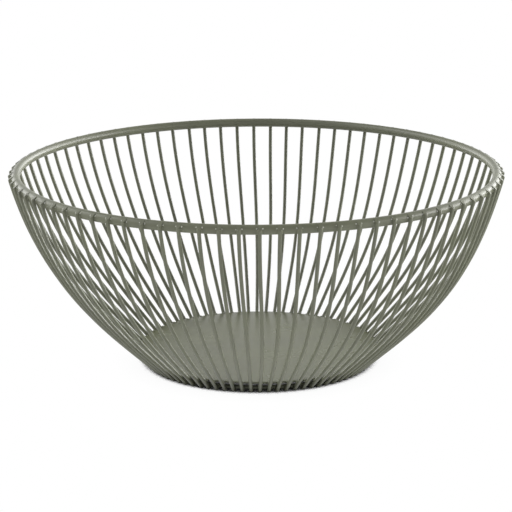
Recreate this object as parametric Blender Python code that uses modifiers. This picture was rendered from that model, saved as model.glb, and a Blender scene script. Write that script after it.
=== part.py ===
"""Round wire basket: upright ribs welded round a heavy rim ring and a light foot ring.

Metres, +Z up. The origin is on the table, on the axis of the basket. -Y is the front.
"""
import math

import bmesh
import bpy
from mathutils import Matrix, Vector

# Overall form
BASKET_HEIGHT = 0.1202
RIM_RING_RADIUS = 0.1445
FOOT_SPREAD_RADIUS = 0.0686
RIM_LEAN_DEG = 15.4
FOOT_LEAN_DEG = 46.8
RIM_CURVE_SHARE = 0.50
FOOT_CURVE_SHARE = 0.28

# Wires and sheet
RIM_WIRE_RADIUS = 0.00275
RIB_WIRE_RADIUS = 0.0011
FOOT_WIRE_RADIUS = 0.0012
PLATE_THICKNESS = 0.0012
PLATE_EDGE_ROUND = 0.0003

# Where the pieces meet
WELD_CLEARANCE = 0.0003
RIB_END_DROP = 0.0018
FOOT_RING_LIFT = 0.0009
PLATE_TOP_HEIGHT = 0.0072
TRIM_OVERRUN = 0.003
WELD_DEPTH = 0.0005
WELD_BEAD_SHARE = 0.7

# Pattern of the ribs
RIB_COUNT = 84
RIBS_PER_FRAME_RIB = 3
FRONT_RIB_ANGLE_DEG = -89.4

# Smoothness of the round pieces
RIB_SEGMENTS = 9
RIB_BEVEL_RESOLUTION = 1
RIM_WIRE_SIDES = 12
FOOT_WIRE_SIDES = 6
BEAD_SIDES = 6
MERGE_DISTANCE = 0.000001
SHARP_ANGLE_DEG = 50.0

# Coating: colour, roughness, metallic value
COATING_COLOR = (0.157, 0.165, 0.112, 1.0)
COATING_ROUGHNESS = 0.42
COATING_METALLIC = 0.0


def in_profile(radius, height):
    """A point of the radial section plane, X outward and Z up."""
    return Vector((radius, 0.0, height))


def leaning(lean_deg):
    """Upward direction of a rib that leans outward from upright."""
    lean = math.radians(lean_deg)
    return Vector((math.sin(lean), 0.0, math.cos(lean)))


def outward_normal(lean_deg):
    """Direction square to a leaning rib, out of the basket."""
    lean = math.radians(lean_deg)
    return Vector((math.cos(lean), 0.0, -math.sin(lean)))


RIM_RING_CENTRE = in_profile(RIM_RING_RADIUS, BASKET_HEIGHT - RIM_WIRE_RADIUS)
RIM_TOUCH = RIM_RING_CENTRE + outward_normal(RIM_LEAN_DEG) * (
    RIM_WIRE_RADIUS + WELD_CLEARANCE + RIB_WIRE_RADIUS)
FOOT_POINT = in_profile(FOOT_SPREAD_RADIUS, 0.0)


def foot_ring_centre():
    """Section centre of the foot ring, on the inner side of the ribs' straight feet."""
    height = FOOT_RING_LIFT + FOOT_WIRE_RADIUS
    reach = FOOT_WIRE_RADIUS + WELD_CLEARANCE + RIB_WIRE_RADIUS
    lean = math.radians(FOOT_LEAN_DEG)
    radius = FOOT_SPREAD_RADIUS + height * math.tan(lean) - reach / math.cos(lean)
    return in_profile(radius, height)


def plate_radius():
    """The plate's lower edge lies against the inner side of the ribs."""
    underside = PLATE_TOP_HEIGHT - PLATE_THICKNESS
    reach = WELD_CLEARANCE + RIB_WIRE_RADIUS
    lean = math.radians(FOOT_LEAN_DEG)
    return FOOT_SPREAD_RADIUS + underside * math.tan(lean) - reach / math.cos(lean)


def bezier_point(points, share):
    """A point of the cubic curve through four control points."""
    rest = 1.0 - share
    weights = (rest ** 3, 3.0 * rest * rest * share, 3.0 * rest * share * share, share ** 3)
    return sum((point * weight for point, weight in zip(points, weights)), Vector())


def rib_axis():
    """Axis of a rib from just under the table to its end beside the rim ring."""
    rim_direction = leaning(RIM_LEAN_DEG)
    foot_direction = leaning(FOOT_LEAN_DEG)
    span = (RIM_TOUCH - FOOT_POINT).length
    control = (FOOT_POINT,
               FOOT_POINT + foot_direction * span * FOOT_CURVE_SHARE,
               RIM_TOUCH - rim_direction * span * RIM_CURVE_SHARE,
               RIM_TOUCH)
    start = FOOT_POINT - foot_direction * TRIM_OVERRUN
    bend = [bezier_point(control, step / RIB_SEGMENTS) for step in range(1, RIB_SEGMENTS)]
    end_rise = BASKET_HEIGHT - RIB_END_DROP - RIM_TOUCH.z
    end = RIM_TOUCH + rim_direction * (end_rise / rim_direction.z)
    return [start] + bend + [end]


def new_collection(name):
    collection = bpy.data.collections.new(name)
    bpy.context.scene.collection.children.link(collection)
    return collection


def coating(name):
    """Satin powder coating in sage green."""
    material = bpy.data.materials.new(name)
    material.use_nodes = True
    material.diffuse_color = COATING_COLOR
    shader = material.node_tree.nodes["Principled BSDF"]
    shader.inputs["Base Color"].default_value = COATING_COLOR
    shader.inputs["Roughness"].default_value = COATING_ROUGHNESS
    shader.inputs["Metallic"].default_value = COATING_METALLIC
    return material


def move_to(collection, piece):
    for old in list(piece.users_collection):
        old.objects.unlink(piece)
    collection.objects.link(piece)


def shade(mesh):
    mesh.shade_smooth()
    mesh.set_sharp_from_angle(angle=math.radians(SHARP_ANGLE_DEG))


def rib_mesh(material):
    """One rib in the XZ plane: a drawn wire, its foot trimmed flush with the table."""
    curve = bpy.data.curves.new("rib_axis", "CURVE")
    curve.dimensions = "3D"
    curve.bevel_depth = RIB_WIRE_RADIUS
    curve.bevel_resolution = RIB_BEVEL_RESOLUTION
    curve.use_fill_caps = True
    axis = rib_axis()
    spline = curve.splines.new("POLY")
    spline.points.add(len(axis) - 1)
    for point, place in zip(spline.points, axis):
        point.co = (*place, 1.0)
    wire = bpy.data.objects.new("rib_axis", curve)
    bpy.context.scene.collection.objects.link(wire)
    evaluated = wire.evaluated_get(bpy.context.evaluated_depsgraph_get())
    mesh = bpy.data.meshes.new_from_object(evaluated)
    bpy.data.objects.remove(wire)
    bpy.data.curves.remove(curve)

    shape = bmesh.new()
    shape.from_mesh(mesh)
    bmesh.ops.remove_doubles(shape, verts=shape.verts, dist=MERGE_DISTANCE)
    everything = shape.verts[:] + shape.edges[:] + shape.faces[:]
    bmesh.ops.bisect_plane(shape, geom=everything, plane_co=(0.0, 0.0, 0.0),
                           plane_no=(0.0, 0.0, -1.0), clear_outer=True)
    cut_edges = [edge for edge in shape.edges if edge.is_boundary]
    bmesh.ops.edgeloop_fill(shape, edges=cut_edges)
    bmesh.ops.recalc_face_normals(shape, faces=shape.faces)
    shape.to_mesh(mesh)
    shape.free()
    mesh.name = "rib"
    mesh.materials.clear()
    mesh.materials.append(material)
    shade(mesh)
    return mesh


def rib_angle(index):
    return math.radians(FRONT_RIB_ANGLE_DEG) + math.tau * index / RIB_COUNT


def place_rib(mesh, name, index, collection):
    rib = bpy.data.objects.new(name, mesh)
    rib.rotation_euler = (0.0, 0.0, rib_angle(index))
    collection.objects.link(rib)
    return rib


def ring(name, centre, wire_radius, sides, material, collection):
    """A closed ring of round wire. Its facets are in step with the ribs."""
    bpy.ops.mesh.primitive_torus_add(
        major_segments=RIB_COUNT, minor_segments=sides,
        major_radius=centre.x, minor_radius=wire_radius,
        location=(0.0, 0.0, centre.z), rotation=(0.0, 0.0, rib_angle(0)))
    piece = bpy.context.object
    piece.name = name
    piece.data.name = name
    piece.data.materials.append(material)
    shade(piece.data)
    move_to(collection, piece)
    return piece


def base_plate(material, collection):
    """Flat sheet disc that closes the bottom, its edge resting on the ribs."""
    bpy.ops.mesh.primitive_cylinder_add(
        vertices=RIB_COUNT, radius=plate_radius(), depth=PLATE_THICKNESS,
        location=(0.0, 0.0, PLATE_TOP_HEIGHT - PLATE_THICKNESS / 2),
        rotation=(0.0, 0.0, rib_angle(0)))
    plate = bpy.context.object
    plate.name = "base_plate"
    plate.data.name = "base_plate"
    plate.data.materials.append(material)
    shade(plate.data)
    edge = plate.modifiers.new("rounded_edge", "BEVEL")
    edge.width = PLATE_EDGE_ROUND
    edge.segments = 1
    edge.limit_method = "ANGLE"
    move_to(collection, plate)
    return plate


def weld_bead_mesh():
    """Weld of a rib: a short plug from the foot ring's axis to just inside the rib."""
    plug = outward_normal(FOOT_LEAN_DEG) * (FOOT_WIRE_RADIUS + WELD_CLEARANCE + WELD_DEPTH)
    bead = RIB_WIRE_RADIUS * WELD_BEAD_SHARE
    turn = plug.to_track_quat("Z", "Y").to_matrix().to_4x4()
    place = Matrix.Translation(foot_ring_centre() + plug / 2) @ turn
    mesh = bpy.data.meshes.new("weld_bead")
    shape = bmesh.new()
    bmesh.ops.create_cone(shape, cap_ends=True, segments=BEAD_SIDES, radius1=bead,
                          radius2=bead, depth=plug.length, matrix=place)
    shape.to_mesh(mesh)
    shape.free()
    return mesh


def weld_to_foot_ring(foot_frame, mesh, indices, welded):
    """Join the frame ribs to the foot ring through their weld beads."""
    bead_mesh = weld_bead_mesh()
    for index in indices:
        for tool_mesh, kind in ((mesh, "frame_rib"), (bead_mesh, "frame_weld")):
            tool = place_rib(tool_mesh, f"{kind}_{index + 1:02d}", index, welded)
            tool.hide_render = True
            tool.display_type = "WIRE"
    joint = foot_frame.modifiers.new("welded_frame_ribs", "BOOLEAN")
    joint.operation = "UNION"
    joint.operand_type = "COLLECTION"
    joint.collection = welded


def build():
    for old in list(bpy.data.objects):
        bpy.data.objects.remove(old)
    basket = new_collection("wire_basket")
    welded = new_collection("frame_rib_tools")

    rib_coating = coating("rib_coating")
    ribs = rib_mesh(rib_coating)
    frame_indices = range(0, RIB_COUNT, RIBS_PER_FRAME_RIB)
    for index in range(RIB_COUNT):
        if index not in frame_indices:
            place_rib(ribs, f"rib_{index + 1:02d}", index, basket)

    ring("rim_ring", RIM_RING_CENTRE, RIM_WIRE_RADIUS, RIM_WIRE_SIDES,
         coating("rim_coating"), basket)
    foot_frame = ring("foot_frame", foot_ring_centre(), FOOT_WIRE_RADIUS, FOOT_WIRE_SIDES,
                      coating("foot_coating"), basket)
    weld_to_foot_ring(foot_frame, ribs, frame_indices, welded)
    base_plate(coating("plate_coating"), basket)


build()
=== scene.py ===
"""Looks of the round wire basket: powder-coated wires, welds and sheet base on a white table.

Metres, +Z up. The origin is on the table, on the axis of the basket. -Y is the front.
"""
import math
import random

import bmesh
import bpy
from mathutils import Matrix, Vector


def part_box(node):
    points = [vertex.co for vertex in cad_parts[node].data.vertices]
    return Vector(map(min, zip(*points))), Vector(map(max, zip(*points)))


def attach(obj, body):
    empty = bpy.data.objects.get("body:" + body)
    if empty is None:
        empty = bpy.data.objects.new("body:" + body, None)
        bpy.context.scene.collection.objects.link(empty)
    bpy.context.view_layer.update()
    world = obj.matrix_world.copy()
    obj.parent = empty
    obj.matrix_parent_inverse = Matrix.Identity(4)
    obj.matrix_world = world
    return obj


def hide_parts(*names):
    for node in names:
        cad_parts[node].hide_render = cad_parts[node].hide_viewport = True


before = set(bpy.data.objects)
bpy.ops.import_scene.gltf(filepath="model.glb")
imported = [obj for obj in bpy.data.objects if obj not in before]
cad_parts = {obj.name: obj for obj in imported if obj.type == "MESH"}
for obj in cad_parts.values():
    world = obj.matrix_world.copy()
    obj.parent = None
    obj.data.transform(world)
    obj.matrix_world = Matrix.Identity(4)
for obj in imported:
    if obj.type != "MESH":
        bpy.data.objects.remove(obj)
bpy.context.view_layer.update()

MM = 0.001

# Course of the ribs, as in the solids
RIM_LEAN_DEG = 15.4
FOOT_LEAN_DEG = 46.8
RIM_CURVE_SHARE = 0.50
FOOT_CURVE_SHARE = 0.28
RIB_COUNT = 84
RIBS_PER_FRAME_RIB = 3
FRONT_RIB_ANGLE_DEG = -89.4
RIB_WIRE_RADIUS = 1.1 * MM
FOOT_WIRE_RADIUS = 1.2 * MM
FOOT_SPREAD_RADIUS = 68.6 * MM
FOOT_RING_LIFT = 0.9 * MM
WELD_CLEARANCE = 0.3 * MM

# The rib's end is bent round the rim ring and pressed flat at a slant, nearly flush with the ring
RIM_WELD_SINK = 0.35 * MM
RIM_WRAP_END_DEG = 50.0
RIM_PRESS_SLANT_DEG = 56.0
RIM_PRESS_PROUD = 0.18 * MM
END_ROUND = 0.6 * MM
CUT_EDGE_ROUND = 0.25 * MM

# Hand-laid wires: how far a rib's ends stray along the rings
RIM_STRAY = 0.35 * MM
FOOT_STRAY = 0.3 * MM
RANDOM_SEED = 84

# The basket is a little out of true: its belly lies to the right and its rim to the left
BELLY_DRIFT = 1.0 * MM
UPRIGHT_SHARE = 0.64
RIM_DRIFT_LOSS = 0.2

# Fineness of the wires
RIB_RINGS = 40
RIB_SIDES = 16
WRAP_STEPS = 12
END_ROUND_STEPS = 4
RIM_STEPS = 504
RIM_SIDES = 32
FOOT_STEPS = 336
FOOT_SIDES = 18

# Punched sheet disc, its rings of points given as shares of its radius
PLATE_UPPER_ROUND = 0.3 * MM
PLATE_LOWER_ROUND = 0.8 * MM
UPPER_ROUND_STEPS = 5
LOWER_ROUND_STEPS = 3
UNDERSIDE_SHARES = (0.002, 0.5, 0.9)
TOP_SHARES = (0.97, 0.9, 0.7, 0.5, 0.3, 0.002)
PLATE_STEPS = 336
SHARP_ANGLE_DEG = 50.0

# Weld fillets: wires and lumps of weld, melted into one skin
BEAD_VOXEL = 0.17 * MM
BEAD_SMOOTHING = 0.5
BEAD_SMOOTHING_ROUNDS = 9
BEAD_FACES_SHARE = 0.2
BEAD_KINDS = 3
COAT_DEPTH = 0.06 * MM
LUMP_SEGMENTS = 16
LUMP_RINGS = 10

# Fillets at the rim: half their length of ring, the lump's radii (out, across, along) and its spread in size
RIM_BEAD_HALF = 2.9 * MM
RIM_BEAD_SIDES = 40
RIM_LUMP_RADII = (0.9 * MM, 1.6 * MM, 1.8 * MM)
LEAST_SWELLING = 0.9
MOST_SWELLING = 1.08

# Fillets at the foot: half their length of ring, the stretch of rib from its foot, and the lumps' radii
FOOT_BEAD_HALF = 2.2 * MM
FOOT_BEAD_START = 1.3 * MM
FOOT_BEAD_END = 11.0 * MM
FOOT_BEAD_SIDES = 24
FOOT_LUMP_RADII = (0.8 * MM, 1.3 * MM, 1.3 * MM)
PLATE_LUMP_RADII = (1.0 * MM, 1.2 * MM, 1.0 * MM)

# Small drops of weld on the rim ring, beside each rib's end
WELD_DROP_RADIUS = 0.5 * MM
LEAST_DROP_SHARE = 0.75
MOST_DROP_SHARE = 1.15
WELD_DROP_ACROSS = 1.6 * MM
WELD_DROP_ANGLE_DEG = 19.0
WELD_DROP_STRAY_DEG = 7.0
WELD_DROP_SUBDIVISIONS = 2

# Butt weld of the rim ring: a shallow groove across the wire
RIM_SEAM_ANGLE_DEG = -3.7
RIM_SEAM_WIDTH = 0.8 * MM
RIM_SEAM_DEPTH = 0.3 * MM
RIM_SEAM_FADE = 2.0
RIM_SEAM_STEPS = 16

# Powder coating: colour, roughness and height of the orange peel on each kind of piece
COATING = (0.157, 0.165, 0.112)
# The plate has the same paint as the wires: this warmer, darker copy is painted light, standing in for how
# light falls on the upward-facing sheet
PLATE_COATING_PAINTED_LIGHT = (0.15, 0.158, 0.1)
# Painted glint: the weld drops get a much lighter colour than the coating, so that they show as bright
# specks where light catches them
PAINTED_GLINT_COATING = (0.5, 0.51, 0.45)
COATING_IOR = 1.5
WIRE_ROUGHNESS = 0.38
PLATE_ROUGHNESS = 0.26
DROP_ROUGHNESS = 0.25
WIRE_PEEL = 0.02 * MM
PLATE_PEEL = 0.01 * MM
DROP_PEEL = 0.005 * MM

# Unevenness of the coating: clouds that tint it and change its gloss, flecks, and orange peel
CLOUD_SCALE = 28.0
CLOUD_DETAIL = 3.0
CLOUD_START = 0.3
CLOUD_END = 0.7
DARK_CLOUD = (0.94, 0.93, 0.97)
LIGHT_CLOUD = (1.06, 1.07, 1.02)
GLOSS_SPREAD = 0.05
FLECK_SCALE = 1400.0
FLECK_DETAIL = 2.0
FLECK_STRENGTH = 0.10
PEEL_SCALE = 700.0
PEEL_DETAIL = 2.5
PEEL_STRENGTH = 0.6

# White table, nearly black where next to no sky reaches it and faintly shaded round about
TABLE_RADIUS = 6.0
TABLE_SIDES = 96
TABLE_GAP = 0.02 * MM
TABLE_COLOR = (0.9, 0.9, 0.9, 1.0)
SHADE_REACH = 14 * MM
SHADE_SAMPLES = 16
CONTACT_DARK_SKY = 0.2
CONTACT_LIGHT_SKY = 0.3
CONTACT_DARKEST = 0.008
FAINT_SHADE = 0.06

# Studio: levels of the room, and the heights between which its white backdrop fades into the ceiling
ROOM_LEVEL = 0.34
CEILING_LEVEL = 0.16
BACKDROP_FADE_FROM = 0.05
BACKDROP_FADE_TO = 0.65

# Soft boxes: right back, right, high on the left and left back, as azimuth, elevation and level
SOFT_BOXES = (
    (45.0, 5.0, 8.0),
    (85.0, 5.0, 8.8),
    (275.0, 42.0, 3.7),
    (315.0, 5.0, 4.4),
)
BOX_TIGHTNESS = 14.0

# Spacing of the nodes in the node editor
NODE_COLUMN = 200
NODE_ROW = 250

# Camera, from the photograph's perspective
CAMERA_PLACE = (-1.2 * MM, -1270.4 * MM, 405.3 * MM)
CAMERA_DIP_DEG = 15.04
CAMERA_ROLL_DEG = -0.24
CAMERA_LENS = 151.6
SENSOR_WIDTH = 36.0
CAMERA_NEAR = 0.05
CAMERA_FAR = 30.0

ACROSS = Vector((0.0, 1.0, 0.0))


def in_profile(radius, height):
    """A point of the radial section plane, X outward and Z up."""
    return Vector((radius, 0.0, height))


def leaning(lean_deg):
    """Upward direction of a rib that leans outward from upright."""
    lean = math.radians(lean_deg)
    return Vector((math.sin(lean), 0.0, math.cos(lean)))


def outward_normal(lean_deg):
    """Direction square to a leaning rib, out of the basket."""
    lean = math.radians(lean_deg)
    return Vector((math.cos(lean), 0.0, -math.sin(lean)))


def reach_of(name):
    """Largest distance of a node from the basket's axis."""
    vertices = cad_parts[name].data.vertices
    return max(math.hypot(vertex.co.x, vertex.co.y) for vertex in vertices)


rim_low, rim_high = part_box("rim_ring")
plate_low, plate_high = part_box("base_plate")
BASKET_HEIGHT = rim_high.z
RIM_WIRE_RADIUS = (rim_high.z - rim_low.z) / 2
RIM_CENTRE = in_profile(reach_of("rim_ring") - RIM_WIRE_RADIUS, BASKET_HEIGHT - RIM_WIRE_RADIUS)
PLATE_RADIUS = reach_of("base_plate")
PLATE_TOP = plate_high.z
PLATE_UNDERSIDE = plate_low.z
TOUCH_REACH = RIM_WIRE_RADIUS + RIB_WIRE_RADIUS - RIM_WELD_SINK
PRESS_REACH = RIM_WIRE_RADIUS + RIM_PRESS_PROUD
RIM_TOUCH = RIM_CENTRE + outward_normal(RIM_LEAN_DEG) * TOUCH_REACH
FOOT_POINT = in_profile(FOOT_SPREAD_RADIUS, 0.0)


def foot_ring_centre():
    """Section centre of the foot ring, on the inner side of the ribs' feet."""
    height = FOOT_RING_LIFT + FOOT_WIRE_RADIUS
    reach = FOOT_WIRE_RADIUS + WELD_CLEARANCE + RIB_WIRE_RADIUS
    lean = math.radians(FOOT_LEAN_DEG)
    radius = FOOT_SPREAD_RADIUS + height * math.tan(lean) - reach / math.cos(lean)
    return in_profile(radius, height)


FOOT_CENTRE = foot_ring_centre()


def rib_control():
    """Control points of the rib's curve, foot first."""
    span = (RIM_TOUCH - FOOT_POINT).length
    return (FOOT_POINT,
            FOOT_POINT + leaning(FOOT_LEAN_DEG) * span * FOOT_CURVE_SHARE,
            RIM_TOUCH - leaning(RIM_LEAN_DEG) * span * RIM_CURVE_SHARE,
            RIM_TOUCH)


def on_curve(points, share):
    """Point and direction of a cubic curve."""
    rest = 1.0 - share
    weights = (rest ** 3, 3 * rest * rest * share, 3 * rest * share * share, share ** 3)
    place = sum((point * weight for point, weight in zip(points, weights)), Vector())
    slopes = (rest * rest, 2 * rest * share, share * share)
    steps = [after - before for before, after in zip(points, points[1:])]
    heading = sum((step * slope for step, slope in zip(steps, slopes)), Vector())
    return place, heading.normalized()


def mesh_of_rings(name, rings, closed=False):
    """A tube through rings of points; closed joins the last ring to the first, else both ends are capped."""
    sides = len(rings[0])
    points = [point for ring in rings for point in ring]
    spans = len(rings) if closed else len(rings) - 1
    faces = []
    for span in range(spans):
        here = span * sides
        there = ((span + 1) % len(rings)) * sides
        for side in range(sides):
            after = (side + 1) % sides
            faces.append((here + side, here + after, there + after, there + side))
    if not closed:
        faces.append(tuple(range(sides - 1, -1, -1)))
        faces.append(tuple(range(len(points) - sides, len(points))))
    mesh = bpy.data.meshes.new(name)
    mesh.from_pydata(points, [], faces)
    shape = bmesh.new()
    shape.from_mesh(mesh)
    bmesh.ops.recalc_face_normals(shape, faces=shape.faces)
    shape.to_mesh(mesh)
    shape.free()
    mesh.shade_smooth()
    return mesh


def drift_at(height):
    """How far the basket stands to the right of its axis at a height."""
    share = height / BASKET_HEIGHT
    return BELLY_DRIFT * math.sin(math.pi * share / UPRIGHT_SHARE) * (1.0 - RIM_DRIFT_LOSS * share)


def new_piece(name, mesh, material, nodes):
    """Adds a mesh as a piece of the basket, a little out of true, in the place of the named nodes."""
    for vertex in mesh.vertices:
        vertex.co.x += drift_at(vertex.co.z)
    mesh.materials.clear()
    mesh.materials.append(material)
    piece = bpy.data.objects.new(name, mesh)
    bpy.context.scene.collection.objects.link(piece)
    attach(piece, "root")
    if nodes:
        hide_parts(*nodes)


def circle(centre, first, second, radius, sides):
    """Points round a centre in the plane of two square directions."""
    points = []
    for side in range(sides):
        turn = math.tau * side / sides
        points.append(centre + first * (radius * math.cos(turn)) + second * (radius * math.sin(turn)))
    return points


def round_the_rim(angle, reach):
    """A point beside the rim ring's section centre, at an angle above the outward direction."""
    return RIM_CENTRE + in_profile(math.cos(angle), math.sin(angle)) * reach


def bent_end():
    """Stations of a rib's end, from where it meets the rim ring round to its upper side."""
    start = -math.radians(RIM_LEAN_DEG)
    end = math.radians(RIM_WRAP_END_DEG)
    stations = []
    for step in range(1, WRAP_STEPS + 1):
        angle = start + (end - start) * step / WRAP_STEPS
        heading = in_profile(-math.sin(angle), math.cos(angle))
        stations.append((round_the_rim(angle, TOUCH_REACH), heading))
    return stations


def pressed(point):
    """A point of the rib's end, pushed back where it stands beyond the slanting plane of the press."""
    slant = math.radians(RIM_PRESS_SLANT_DEG)
    normal = in_profile(math.cos(slant), math.sin(slant))
    beyond = (point - RIM_CENTRE).dot(normal) - PRESS_REACH
    return point - normal * max(0.0, beyond)


def wire_ring(place, heading, radius):
    """Ring of points round a rib's axis, which lies in the XZ plane."""
    return circle(place, ACROSS, heading.cross(ACROSS), radius, RIB_SIDES)


def flush_foot(ring, heading):
    """Two rings that end a rib flat on the table, with a small round at the cut edge."""
    onto_table = [point - heading * (point.z / heading.z) for point in ring]
    lifted = [point + heading * (CUT_EDGE_ROUND / heading.z) for point in onto_table]
    centre = sum(onto_table, Vector()) / RIB_SIDES
    inset = 1.0 - CUT_EDGE_ROUND / RIB_WIRE_RADIUS
    return [[centre + (point - centre) * inset for point in onto_table], lifted]


def rib_rings():
    """Rings of one rib in the XZ plane, from its flush-cut foot to its pressed end."""
    control = rib_control()
    stations = [on_curve(control, step / RIB_RINGS) for step in range(RIB_RINGS + 1)]
    foot_heading = stations[0][1]
    stations += bent_end()
    rings = [wire_ring(place, heading, RIB_WIRE_RADIUS) for place, heading in stations]
    rings = flush_foot(rings[0], foot_heading) + rings[1:]
    shoulder, heading = stations[-1]
    for step in range(1, END_ROUND_STEPS + 1):
        turn = math.pi / 2 * step / END_ROUND_STEPS
        radius = RIB_WIRE_RADIUS - END_ROUND * (1.0 - math.cos(turn))
        rings.append(wire_ring(shoulder + heading * (END_ROUND * math.sin(turn)), heading, radius))
    return [[pressed(point) for point in ring] for ring in rings]


def rib_angle(index):
    """Angle of a rib about the basket's axis."""
    return math.radians(FRONT_RIB_ANGLE_DEG) + math.tau * index / RIB_COUNT


def bend_along(mesh, angle, foot_shift, rim_shift):
    """Turns a rib about the basket's axis, by an angle that drifts from its foot to its rim end."""
    for vertex in mesh.vertices:
        share = vertex.co.z / BASKET_HEIGHT
        drift = angle + foot_shift * (1.0 - share) + rim_shift * share
        vertex.co = Matrix.Rotation(drift, 3, "Z") @ vertex.co


def cylinder_between(shape, low, high, radius, sides):
    """A straight stretch of wire."""
    axis = high - low
    turn = axis.to_track_quat("Z", "Y").to_matrix().to_4x4()
    bmesh.ops.create_cone(shape, cap_ends=True, segments=sides, radius1=radius, radius2=radius,
                          depth=axis.length, matrix=Matrix.Translation((low + high) / 2) @ turn)


def ellipsoid(shape, centre, axes, radii):
    """A sphere stretched along three square axes."""
    frame_turn = Matrix(axes).transposed().to_4x4()
    stretch = Matrix.Diagonal((*radii, 1.0))
    bmesh.ops.create_uvsphere(shape, u_segments=LUMP_SEGMENTS, v_segments=LUMP_RINGS, radius=1.0,
                              matrix=Matrix.Translation(centre) @ frame_turn @ stretch)


def melted(name, shape):
    """Joins overlapping solids into one skin with soft fillets, as weld and coating leave them."""
    mesh = bpy.data.meshes.new(name)
    bmesh.ops.scale(shape, vec=Vector((1, 1, 1)) / MM, verts=shape.verts)
    shape.to_mesh(mesh)
    shape.free()
    lump = bpy.data.objects.new(name, mesh)
    bpy.context.scene.collection.objects.link(lump)
    skin = lump.modifiers.new("skin", "REMESH")
    skin.mode = "VOXEL"
    skin.voxel_size = BEAD_VOXEL / MM
    soft = lump.modifiers.new("soft", "SMOOTH")
    soft.factor = BEAD_SMOOTHING
    soft.iterations = BEAD_SMOOTHING_ROUNDS
    fewer = lump.modifiers.new("fewer", "DECIMATE")
    fewer.ratio = BEAD_FACES_SHARE
    result = bpy.data.meshes.new_from_object(lump.evaluated_get(bpy.context.evaluated_depsgraph_get()))
    bpy.data.objects.remove(lump)
    result.transform(Matrix.Scale(MM, 4))
    result.shade_smooth()
    return result


def rim_bead(rib_end, chance):
    """Weld of a rib's end on the rim ring, with soft fillets."""
    along = leaning(RIM_LEAN_DEG)
    out = outward_normal(RIM_LEAN_DEG)
    half = ACROSS * RIM_BEAD_HALF
    shape = bmesh.new()
    shape.from_mesh(rib_end)
    cylinder_between(shape, RIM_CENTRE - half, RIM_CENTRE + half,
                     RIM_WIRE_RADIUS - COAT_DEPTH, RIM_BEAD_SIDES)
    contact = RIM_CENTRE + out * (RIM_WIRE_RADIUS - RIM_WELD_SINK / 2)
    swelling = chance.uniform(LEAST_SWELLING, MOST_SWELLING)
    ellipsoid(shape, contact, (out, ACROSS, along), [radius * swelling for radius in RIM_LUMP_RADII])
    return melted("rim_bead", shape)


def add_weld_drops(shape, turn, chance):
    """Small drops of weld on the rim ring, one on each side of a rib's end."""
    for side in (-1, 1):
        stray = chance.uniform(-WELD_DROP_STRAY_DEG, WELD_DROP_STRAY_DEG)
        radius = WELD_DROP_RADIUS * chance.uniform(LEAST_DROP_SHARE, MOST_DROP_SHARE)
        place = round_the_rim(math.radians(WELD_DROP_ANGLE_DEG + stray), RIM_WIRE_RADIUS)
        place += ACROSS * (side * WELD_DROP_ACROSS)
        bmesh.ops.create_icosphere(shape, subdivisions=WELD_DROP_SUBDIVISIONS, radius=radius,
                                   matrix=Matrix.Rotation(turn, 4, "Z") @ Matrix.Translation(place))


def foot_bead():
    """Fillets where a rib crosses the foot ring and the plate's edge."""
    along = leaning(FOOT_LEAN_DEG)
    out = outward_normal(FOOT_LEAN_DEG)
    half = ACROSS * FOOT_BEAD_HALF
    shape = bmesh.new()
    cylinder_between(shape, FOOT_CENTRE - half, FOOT_CENTRE + half, FOOT_WIRE_RADIUS, FOOT_BEAD_SIDES)
    cylinder_between(shape, FOOT_POINT + along * FOOT_BEAD_START, FOOT_POINT + along * FOOT_BEAD_END,
                     RIB_WIRE_RADIUS, FOOT_BEAD_SIDES)
    contact = FOOT_CENTRE + out * (FOOT_WIRE_RADIUS + WELD_CLEARANCE / 2)
    ellipsoid(shape, contact, (out, ACROSS, along), FOOT_LUMP_RADII)
    edge = in_profile(PLATE_RADIUS, (PLATE_TOP + PLATE_UNDERSIDE) / 2)
    ellipsoid(shape, edge, (out, ACROSS, along), PLATE_LUMP_RADII)
    return melted("foot_bead", shape)


def joined(name, meshes):
    """One mesh from several."""
    shape = bmesh.new()
    for mesh in meshes:
        shape.from_mesh(mesh)
    mesh = bpy.data.meshes.new(name)
    shape.to_mesh(mesh)
    shape.free()
    mesh.shade_smooth()
    return mesh


def make_ribs(material, drop_glint_material):
    """The ribs, each laid a little by hand and with its welds, and the weld drops beside their ends."""
    rings = rib_rings()
    wire = mesh_of_rings("rib", rings)
    rib_end = mesh_of_rings("rib_end", rings[RIB_RINGS - 1:])
    foot = foot_bead()
    chance = random.Random(RANDOM_SEED)
    kinds = [joined("rib_with_welds", [wire, foot, rim_bead(rib_end, chance)]) for _ in range(BEAD_KINDS)]
    drops = bmesh.new()
    for index in range(RIB_COUNT):
        label = f"{index + 1:02d}"
        mesh = chance.choice(kinds).copy()
        foot_shift = chance.uniform(-FOOT_STRAY, FOOT_STRAY) / FOOT_SPREAD_RADIUS
        rim_shift = chance.uniform(-RIM_STRAY, RIM_STRAY) / RIM_CENTRE.x
        bend_along(mesh, rib_angle(index), foot_shift, rim_shift)
        add_weld_drops(drops, rib_angle(index) + rim_shift, chance)
        replaced = "foot_frame" if index % RIBS_PER_FRAME_RIB == 0 else f"rib_{label}"
        new_piece(f"rib_wire_{label}", mesh, material, [replaced])
    drop_mesh = bpy.data.meshes.new("weld_drops")
    drops.to_mesh(drop_mesh)
    drops.free()
    drop_mesh.shade_smooth()
    # The drops wear the lighter colour of painted glint
    new_piece("weld_drops", drop_mesh, drop_glint_material, [])


def ring_of_wire(name, centre, radii, angles, sides):
    """A ring of round wire about the basket's axis, with its own radius at each angle."""
    up = Vector((0.0, 0.0, 1.0))
    rings = []
    for angle, radius in zip(angles, radii):
        outward = Vector((math.cos(angle), math.sin(angle), 0.0))
        rings.append(circle(outward * centre.x + up * centre.z, outward, up, radius, sides))
    return mesh_of_rings(name, rings, closed=True)


def full_turn(steps):
    """Even angles once round."""
    return [math.tau * step / steps for step in range(steps)]


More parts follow.
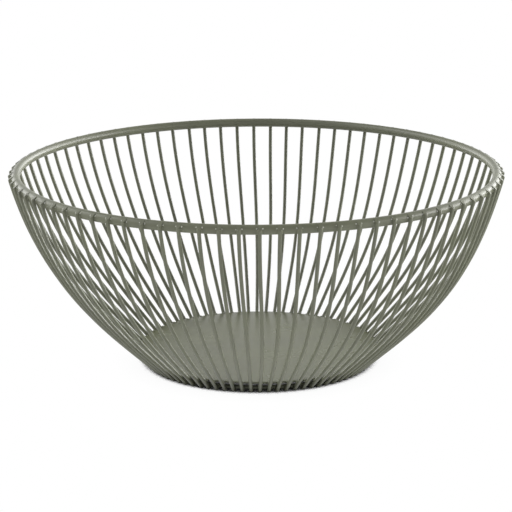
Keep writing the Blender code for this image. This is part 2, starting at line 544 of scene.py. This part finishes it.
def seamed_rim():
    """The rim ring, with the shallow groove of its butt weld across the wire."""
    seam_angle = math.radians(RIM_SEAM_ANGLE_DEG) % math.tau
    half = 2 * RIM_SEAM_WIDTH / RIM_CENTRE.x
    fine = [seam_angle + half * (2 * step / RIM_SEAM_STEPS - 1) for step in range(RIM_SEAM_STEPS + 1)]
    angles = sorted([angle for angle in full_turn(RIM_STEPS) if abs(angle - seam_angle) > half] + fine)
    radii = []
    for angle in angles:
        distance = (angle - seam_angle) * RIM_CENTRE.x / RIM_SEAM_WIDTH
        radii.append(RIM_WIRE_RADIUS - RIM_SEAM_DEPTH * math.exp(-RIM_SEAM_FADE * distance * distance))
    return ring_of_wire("rim_wire", RIM_CENTRE, radii, angles, RIM_SIDES)


def make_rings(rim_material, foot_material):
    """The heavy rim ring and the light foot ring."""
    new_piece("rim_wire", seamed_rim(), rim_material, ["rim_ring"])
    radii = [FOOT_WIRE_RADIUS] * FOOT_STEPS
    foot = ring_of_wire("foot_wire", FOOT_CENTRE, radii, full_turn(FOOT_STEPS), FOOT_SIDES)
    new_piece("foot_wire", foot, foot_material, ["foot_frame"])


def quarter_turns(steps):
    """Even angles over a quarter turn, both ends included."""
    return [math.pi / 2 * step / steps for step in range(steps + 1)]


def make_plate(material):
    """Punched sheet disc: the punch has drawn its lower edge round and left the upper one crisper."""
    profile = [in_profile(PLATE_RADIUS * share, PLATE_UNDERSIDE) for share in UNDERSIDE_SHARES]
    for turn in quarter_turns(LOWER_ROUND_STEPS):
        profile.append(in_profile(PLATE_RADIUS - PLATE_LOWER_ROUND * (1 - math.sin(turn)),
                                  PLATE_UNDERSIDE + PLATE_LOWER_ROUND * (1 - math.cos(turn))))
    for turn in quarter_turns(UPPER_ROUND_STEPS):
        profile.append(in_profile(PLATE_RADIUS - PLATE_UPPER_ROUND * (1 - math.cos(turn)),
                                  PLATE_TOP - PLATE_UPPER_ROUND * (1 - math.sin(turn))))
    profile += [in_profile(PLATE_RADIUS * share, PLATE_TOP) for share in TOP_SHARES]
    rings = []
    for angle in full_turn(PLATE_STEPS):
        turn = Matrix.Rotation(angle, 3, "Z")
        rings.append([turn @ point for point in profile])
    mesh = mesh_of_rings("base_sheet", rings, closed=True)
    mesh.set_sharp_from_angle(angle=math.radians(SHARP_ANGLE_DEG))
    new_piece("base_sheet", mesh, material, ["base_plate"])


def node(tree, kind, place, **values):
    """A shader node at a place in the node editor."""
    made = tree.nodes.new(kind)
    made.location = place
    for name, value in values.items():
        setattr(made, name, value)
    return made


def noise(tree, place, coordinates, scale, detail):
    """Strength of a noise texture."""
    made = node(tree, "ShaderNodeTexNoise", place)
    made.inputs["Scale"].default_value = scale
    made.inputs["Detail"].default_value = detail
    tree.links.new(coordinates, made.inputs["Vector"])
    return made.outputs["Fac"]


def tinted(color, tint):
    """A colour with each of its parts multiplied, as an opaque ramp colour."""
    return tuple(part * share for part, share in zip(color, tint)) + (1.0,)


def powder_coat(name, color, roughness, peel_height):
    """Satin powder coating: fine orange peel, faint cloudiness and slightly uneven gloss."""
    material = bpy.data.materials.new(name)
    material.use_nodes = True
    tree = material.node_tree
    shader = tree.nodes["Principled BSDF"]
    shader.inputs["IOR"].default_value = COATING_IOR
    link = tree.links.new
    coordinates = node(tree, "ShaderNodeTexCoord", (-1500, 0)).outputs["Object"]

    cloud = noise(tree, (-1200, 300), coordinates, CLOUD_SCALE, CLOUD_DETAIL)
    tint = node(tree, "ShaderNodeValToRGB", (-950, 300))
    dark, light = tint.color_ramp.elements
    dark.position = CLOUD_START
    dark.color = tinted(color, DARK_CLOUD)
    light.position = CLOUD_END
    light.color = tinted(color, LIGHT_CLOUD)
    link(cloud, tint.inputs["Fac"])

    fleck = noise(tree, (-1200, 0), coordinates, FLECK_SCALE, FLECK_DETAIL)
    shade = node(tree, "ShaderNodeMixRGB", (-650, 200), blend_type="MULTIPLY")
    shade.inputs["Fac"].default_value = FLECK_STRENGTH
    link(tint.outputs["Color"], shade.inputs["Color1"])
    link(fleck, shade.inputs["Color2"])
    link(shade.outputs["Color"], shader.inputs["Base Color"])

    gloss = node(tree, "ShaderNodeMapRange", (-650, -50))
    gloss.inputs["To Min"].default_value = roughness - GLOSS_SPREAD
    gloss.inputs["To Max"].default_value = roughness + GLOSS_SPREAD
    link(cloud, gloss.inputs["Value"])
    link(gloss.outputs["Result"], shader.inputs["Roughness"])

    peel = noise(tree, (-1200, -300), coordinates, PEEL_SCALE, PEEL_DETAIL)
    bump = node(tree, "ShaderNodeBump", (-400, -300))
    bump.inputs["Strength"].default_value = PEEL_STRENGTH
    bump.inputs["Distance"].default_value = peel_height
    link(peel, bump.inputs["Height"])
    link(bump.outputs["Normal"], shader.inputs["Normal"])
    return material


def rays(tree, place, *kinds):
    """1 for rays of the named kinds, and 0 for all others."""
    path = node(tree, "ShaderNodeLightPath", place)
    answer = path.outputs[kinds[0]]
    for step, kind in enumerate(kinds[1:], start=1):
        beside = (place[0] + NODE_COLUMN * step, place[1])
        either = node(tree, "ShaderNodeMath", beside, operation="MAXIMUM")
        tree.links.new(answer, either.inputs[0])
        tree.links.new(path.outputs[kind], either.inputs[1])
        answer = either.outputs["Value"]
    return answer


def table_shade(tree):
    """Strength of the table's white: 1 in the open, less where the basket keeps the sky off."""
    link = tree.links.new
    open_sky = node(tree, "ShaderNodeAmbientOcclusion", (-600, -200), samples=SHADE_SAMPLES)
    open_sky.inputs["Distance"].default_value = SHADE_REACH
    contact = node(tree, "ShaderNodeMapRange", (-400, -200), interpolation_type="SMOOTHSTEP")
    contact.inputs["From Min"].default_value = CONTACT_DARK_SKY
    contact.inputs["From Max"].default_value = CONTACT_LIGHT_SKY
    contact.inputs["To Min"].default_value = CONTACT_DARKEST
    contact.inputs["To Max"].default_value = 1.0
    link(open_sky.outputs["AO"], contact.inputs["Value"])
    faint = node(tree, "ShaderNodeMath", (-400, -400), operation="MULTIPLY_ADD")
    faint.inputs[1].default_value = FAINT_SHADE
    faint.inputs[2].default_value = 1.0 - FAINT_SHADE
    link(open_sky.outputs["AO"], faint.inputs[0])
    shade = node(tree, "ShaderNodeMath", (-200, -200), operation="MULTIPLY")
    link(contact.outputs["Result"], shade.inputs[0])
    link(faint.outputs["Value"], shade.inputs[1])
    return shade.outputs["Value"]


def make_floor():
    """White table: a white backdrop to the camera and to glossy things, and matt to all other light."""
    bpy.ops.mesh.primitive_circle_add(vertices=TABLE_SIDES, radius=TABLE_RADIUS, fill_type="NGON",
                                      location=(0, 0, -TABLE_GAP))
    floor = bpy.context.object
    floor.name = "table_top"
    material = bpy.data.materials.new("white_table")
    material.use_nodes = True
    tree = material.node_tree
    tree.nodes.clear()
    link = tree.links.new
    matt = node(tree, "ShaderNodeBsdfDiffuse", (-200, 0))
    matt.inputs["Color"].default_value = TABLE_COLOR
    white = node(tree, "ShaderNodeEmission", (0, -200))
    link(table_shade(tree), white.inputs["Strength"])
    seen = rays(tree, (-400, 300), "Is Camera Ray", "Is Transmission Ray", "Is Glossy Ray")
    mix = node(tree, "ShaderNodeMixShader", (300, 0))
    link(seen, mix.inputs["Fac"])
    link(matt.outputs["BSDF"], mix.inputs[1])
    link(white.outputs["Emission"], mix.inputs[2])
    out = node(tree, "ShaderNodeOutputMaterial", (600, 0))
    link(mix.outputs["Shader"], out.inputs["Surface"])
    floor.data.materials.append(material)


def towards(azimuth_deg, elevation_deg):
    """Unit direction: azimuth 0 is behind the basket and 90 to its right."""
    azimuth = math.radians(azimuth_deg)
    elevation = math.radians(elevation_deg)
    level = math.cos(elevation)
    return (math.sin(azimuth) * level, math.cos(azimuth) * level, math.sin(elevation))


def soft_box(tree, gaze, height, azimuth_deg, elevation_deg, level):
    """Strength of a soft box in the direction of gaze, fading smoothly from its middle."""
    link = tree.links.new
    facing = node(tree, "ShaderNodeVectorMath", (-900, height), operation="DOT_PRODUCT")
    facing.inputs[1].default_value = towards(azimuth_deg, elevation_deg)
    link(gaze, facing.inputs[0])
    away = node(tree, "ShaderNodeMath", (-700, height), operation="MULTIPLY_ADD")
    away.inputs[1].default_value = BOX_TIGHTNESS
    away.inputs[2].default_value = -BOX_TIGHTNESS
    link(facing.outputs["Value"], away.inputs[0])
    fade = node(tree, "ShaderNodeMath", (-500, height), operation="EXPONENT")
    link(away.outputs["Value"], fade.inputs[0])
    strength = node(tree, "ShaderNodeMath", (-300, height), operation="MULTIPLY")
    strength.inputs[1].default_value = level
    link(fade.outputs["Value"], strength.inputs[0])
    return strength.outputs["Value"]


def white_room(tree, gaze):
    """Strength of the room: 1 for the camera, darker upwards in glossy things, and even for matt ones."""
    link = tree.links.new
    part = node(tree, "ShaderNodeSeparateXYZ", (-900, 800))
    link(gaze, part.inputs["Vector"])
    mirrored = node(tree, "ShaderNodeMapRange", (-700, 800))
    mirrored.inputs["From Min"].default_value = BACKDROP_FADE_FROM
    mirrored.inputs["From Max"].default_value = BACKDROP_FADE_TO
    mirrored.inputs["To Min"].default_value = 1.0
    mirrored.inputs["To Max"].default_value = CEILING_LEVEL
    link(part.outputs["Z"], mirrored.inputs["Value"])
    unseen = node(tree, "ShaderNodeMapRange", (-500, 600))
    unseen.inputs["To Min"].default_value = ROOM_LEVEL
    link(rays(tree, (-900, 500), "Is Glossy Ray"), unseen.inputs["Value"])
    link(mirrored.outputs["Result"], unseen.inputs["To Max"])
    room = node(tree, "ShaderNodeMath", (-300, 500), operation="MAXIMUM")
    link(rays(tree, (-700, 350), "Is Camera Ray", "Is Transmission Ray"), room.inputs[0])
    link(unseen.outputs["Result"], room.inputs[1])
    return room.outputs["Value"]


def make_world():
    """White studio: a white backdrop under a dimmer ceiling, and soft boxes behind and beside the basket."""
    world = bpy.data.worlds.new("studio")
    bpy.context.scene.world = world
    world.use_nodes = True
    tree = world.node_tree
    tree.nodes.clear()
    link = tree.links.new
    gaze = node(tree, "ShaderNodeTexCoord", (-1100, 0)).outputs["Generated"]
    level = white_room(tree, gaze)
    for row, box in enumerate(SOFT_BOXES):
        total = node(tree, "ShaderNodeMath", (0, -NODE_ROW * row), operation="ADD")
        link(level, total.inputs[0])
        link(soft_box(tree, gaze, -NODE_ROW * row, *box), total.inputs[1])
        level = total.outputs["Value"]
    light = node(tree, "ShaderNodeBackground", (300, 200))
    light.inputs["Color"].default_value = (1.0, 1.0, 1.0, 1.0)
    link(level, light.inputs["Strength"])
    out = node(tree, "ShaderNodeOutputWorld", (500, 200))
    link(light.outputs["Background"], out.inputs["Surface"])


def make_camera():
    """Camera in front of the basket, looking along +Y and a little down, with a slight roll."""
    camera = bpy.data.objects.new("camera", bpy.data.cameras.new("camera"))
    bpy.context.scene.collection.objects.link(camera)
    bpy.context.scene.camera = camera
    camera.data.lens = CAMERA_LENS
    camera.data.sensor_width = SENSOR_WIDTH
    camera.data.clip_start = CAMERA_NEAR
    camera.data.clip_end = CAMERA_FAR
    dip = math.radians(CAMERA_DIP_DEG)
    forward = Vector((0.0, math.cos(dip), -math.sin(dip)))
    right = Vector((1.0, 0.0, 0.0))
    up = right.cross(forward)
    roll = math.radians(CAMERA_ROLL_DEG)
    turned_right = right * math.cos(roll) + up * math.sin(roll)
    turned_up = up * math.cos(roll) - right * math.sin(roll)
    turn = Matrix((turned_right, turned_up, -forward)).transposed()
    camera.matrix_world = Matrix.Translation(CAMERA_PLACE) @ turn.to_4x4()


make_camera()
rim_paint = powder_coat("rim_paint", COATING, WIRE_ROUGHNESS, WIRE_PEEL)
rib_paint = powder_coat("rib_paint", COATING, WIRE_ROUGHNESS, WIRE_PEEL)
# The plate's material is a tinted copy of the wire coating, carrying painted light
plate_paint_painted_light = powder_coat("plate_paint_painted_light", PLATE_COATING_PAINTED_LIGHT, PLATE_ROUGHNESS, PLATE_PEEL)
# The drops' light colour is a painted glint, not a colour of their own
drop_glint_paint = powder_coat("drop_glint_paint", PAINTED_GLINT_COATING, DROP_ROUGHNESS, DROP_PEEL)
make_rings(rim_paint, rib_paint)
make_plate(plate_paint_painted_light)
make_ribs(rib_paint, drop_glint_paint)
make_floor()
make_world()
bpy.context.scene.view_settings.view_transform = "Standard"
